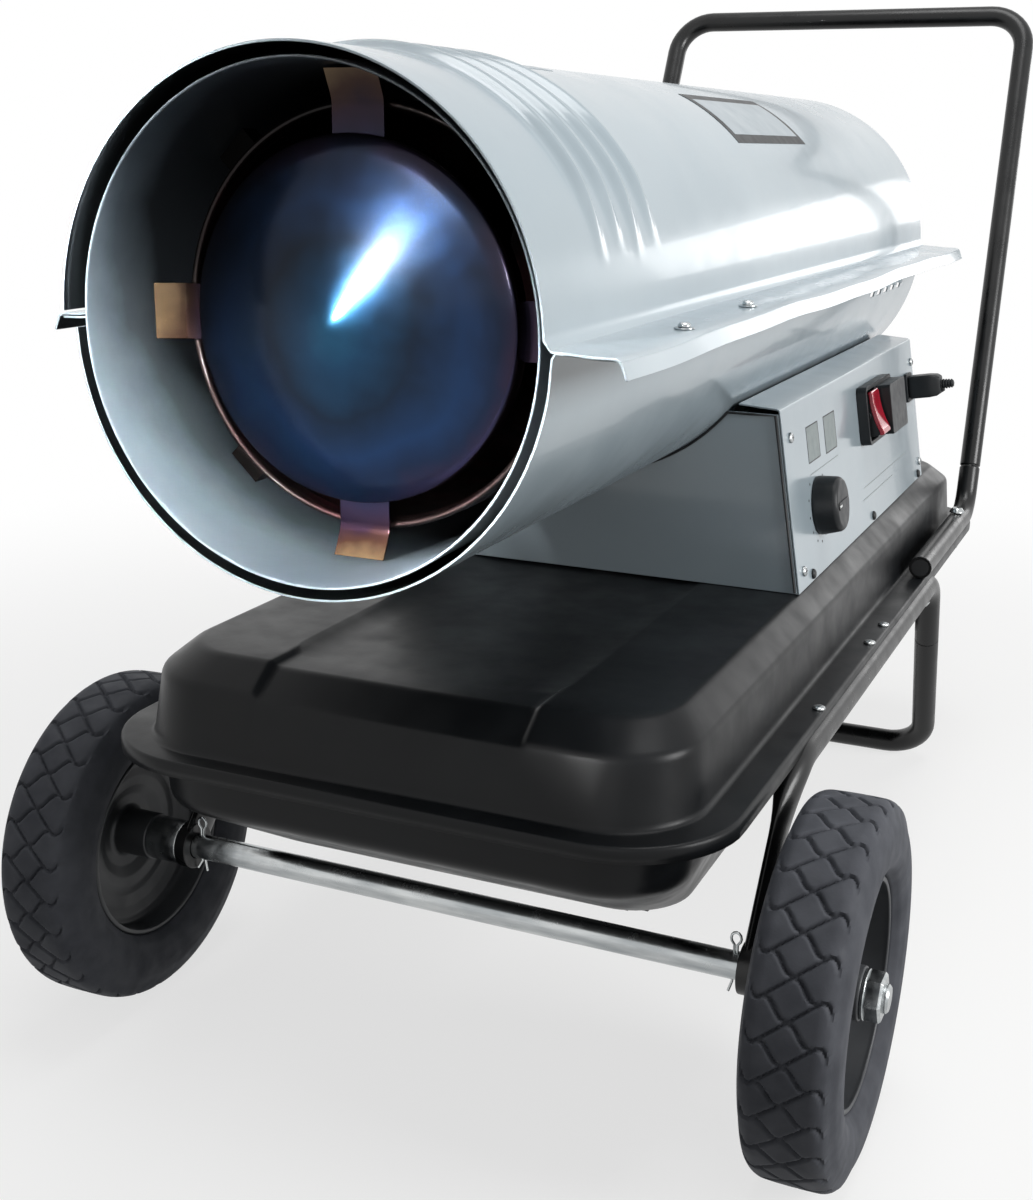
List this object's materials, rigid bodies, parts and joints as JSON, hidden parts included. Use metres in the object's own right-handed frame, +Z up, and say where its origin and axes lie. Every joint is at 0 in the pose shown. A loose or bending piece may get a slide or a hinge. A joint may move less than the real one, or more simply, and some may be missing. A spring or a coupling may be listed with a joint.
{
  "type": "diesel space heater",
  "caption": "Wheeled forced-air diesel heater: round drum with a cone baffle in its outlet, on a control box and a pressed fuel tank, with an axle, a rear stand and a push handle.",
  "frame": {"origin": "on the ground, under the middle of the whole length", "axes": "+Z up, the hot air leaves towards -Y, +X is the side of the control panel"},
  "size_m": [0.524, 1.0548, 0.6719],
  "materials": {
    "shell_enamel": "pale blue-grey gloss enamel",
    "liner_enamel": "pale grey heat enamel",
    "black_enamel": "satin black enamel",
    "rim_enamel": "dark grey enamel",
    "black_powder": "black powder coat",
    "heated_steel": "heat-tinted steel",
    "bare_steel": "bare steel",
    "zinc": "bright zinc plate",
    "cast_aluminium": "as cast",
    "brass": "turned brass",
    "rubber": "matt black rubber",
    "tyre_rubber": "dark grey tyre rubber",
    "dark_plastic": "black moulded plastic",
    "red_plastic": "glossy red plastic",
    "ceramic": "glazed white ceramic",
    "circuit_board": "green board"
  },
  "bodies": {
    "chassis": {"upper_shell": "shell_enamel", "lower_shell": "shell_enamel", "heat_liner": "liner_enamel", "cone_baffle": "heated_steel", "combustion_chamber": "heated_steel", "burner_head": "bare_steel", "fuel_nozzle": "brass", "ignition_electrode": "ceramic", "flame_sensor": "dark_plastic", "motor": "black_enamel", "motor_bracket": "bare_steel", "pump_body": "cast_aluminium", "pump_filter_cover": "dark_plastic", "rear_guard": "black_powder", "tank_upper": "black_enamel", "tank_lower": "black_enamel", "filler_neck": "black_enamel", "filler_strainer": "brass", "fuel_gauge": "dark_plastic", "drain_plug": "zinc", "frame_rail_right": "black_powder", "frame_rail_left": "black_powder", "rear_stand": "black_powder", "push_handle": "black_powder", "handle_bolt_left_front": "zinc", "handle_bolt_left_rear": "zinc", "handle_bolt_right_front": "zinc", "handle_bolt_right_rear": "zinc", "axle": "zinc", "hub_spacer_right": "zinc", "hub_spacer_left": "zinc", "axle_nut_right": "zinc", "axle_nut_left": "zinc", "cotter_pin_right": "zinc", "cotter_pin_left": "zinc", "control_panel": "shell_enamel", "left_cover": "shell_enamel", "box_front_wall": "shell_enamel", "box_rear_wall": "shell_enamel", "thermostat": "dark_plastic", "switch_housing": "dark_plastic", "thermostat_socket": "dark_plastic", "circuit_board": "circuit_board", "ignition_transformer": "dark_plastic", "fuel_filter": "brass", "fuel_hose": "rubber", "air_hose": "rubber"},
    "right_wheel": {"tyre_right": "tyre_rubber", "wheel_rim_right": "rim_enamel"},
    "left_wheel": {"tyre_left": "tyre_rubber", "wheel_rim_left": "rim_enamel"},
    "fan_rotor": {"motor_shaft": "bare_steel", "fan": "cast_aluminium", "pump_rotor": "bare_steel"},
    "knob": {"thermostat_knob": "dark_plastic"},
    "rocker": {"rocker_switch": "red_plastic"},
    "cap_lift": {"cap_seal": "rubber"},
    "cap": {"fuel_cap": "dark_plastic"},
    "plug": {"bridging_plug": "dark_plastic"}
  },
  "joints": [
    {"name": "right_wheel_spin", "type": "hinge", "parent": "chassis", "child": "right_wheel", "pos_m": [0.23, -0.3675, 0.105], "axis": [1, 0, 0], "continuous": true},
    {"name": "left_wheel_spin", "type": "hinge", "parent": "chassis", "child": "left_wheel", "pos_m": [-0.23, -0.3675, 0.105], "axis": [1, 0, 0], "continuous": true},
    {"name": "fan_spin", "type": "hinge", "parent": "chassis", "child": "fan_rotor", "pos_m": [0, 0.15, 0.457], "axis": [0, 1, 0], "continuous": true},
    {"name": "knob_turn", "type": "hinge", "parent": "chassis", "child": "knob", "pos_m": [0.14354, -0.0935, 0.30668], "axis": [0.9862, 0, 0.1657], "range_deg": [0, 270]},
    {"name": "rocker_tilt", "type": "hinge", "parent": "chassis", "child": "rocker", "pos_m": [0.143, 0.06155, 0.34613], "axis": [0, 1, 0], "range_deg": [0, 24]},
    {"name": "cap_lift_off", "type": "slide", "parent": "chassis", "child": "cap_lift", "axis": [0, 0, 1], "range_m": [0, 0.06]},
    {"name": "cap_turn", "type": "hinge", "parent": "cap_lift", "child": "cap", "pos_m": [-0.088, 0.3095, 0.28], "axis": [0, 0, 1], "range_deg": [0, 360]},
    {"name": "plug_pull", "type": "slide", "parent": "chassis", "child": "plug", "axis": [0.9862, 0, 0.1657], "range_m": [0, 0.03]}
  ]
}
